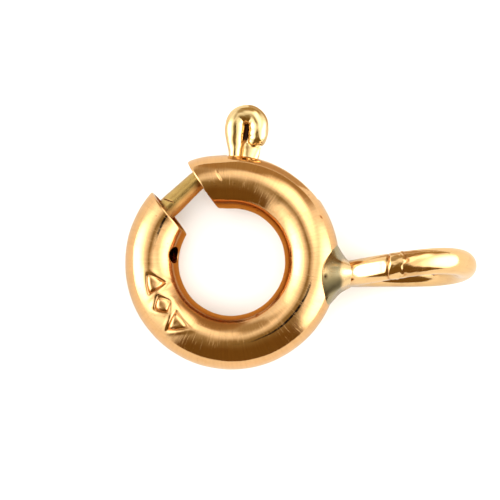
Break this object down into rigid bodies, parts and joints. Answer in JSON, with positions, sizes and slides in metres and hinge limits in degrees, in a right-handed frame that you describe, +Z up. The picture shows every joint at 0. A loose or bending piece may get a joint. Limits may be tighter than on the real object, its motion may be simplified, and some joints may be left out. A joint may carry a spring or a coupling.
{
  "type": "spring ring clasp",
  "caption": "Round spring ring clasp of hollow tube, closed by a sprung bolt with a folded thumb lever, with a soldered end ring for a chain.",
  "frame": {"origin": "under the middle of the clasp's box, on the surface that it lies on", "axes": "+Z up from the surface; +X from the clasp's ring to its end ring; +Y towards the side with the thumb lever"},
  "size_m": [0.0096, 0.0074, 0.0038],
  "materials": {
    "rose_gold": "polished",
    "yellow_gold": "polished",
    "spring_wire": "drawn wire"
  },
  "bodies": {
    "ring": {"ring_body": "rose_gold", "spring": "spring_wire", "spring_stop": "yellow_gold"},
    "bolt": {"bolt": "yellow_gold"}
  },
  "joints": [
    {"name": "bolt_travel", "type": "hinge", "parent": "ring", "child": "bolt", "pos_m": [-0.00187, -0.00071, 0.00112], "axis": [0.1647, 0, -0.9863], "range_deg": [0, 39.7], "stiffness_Nm_per_rad": 0.000001, "springref_deg": -28.65, "deforming": ["spring"]}
  ]
}
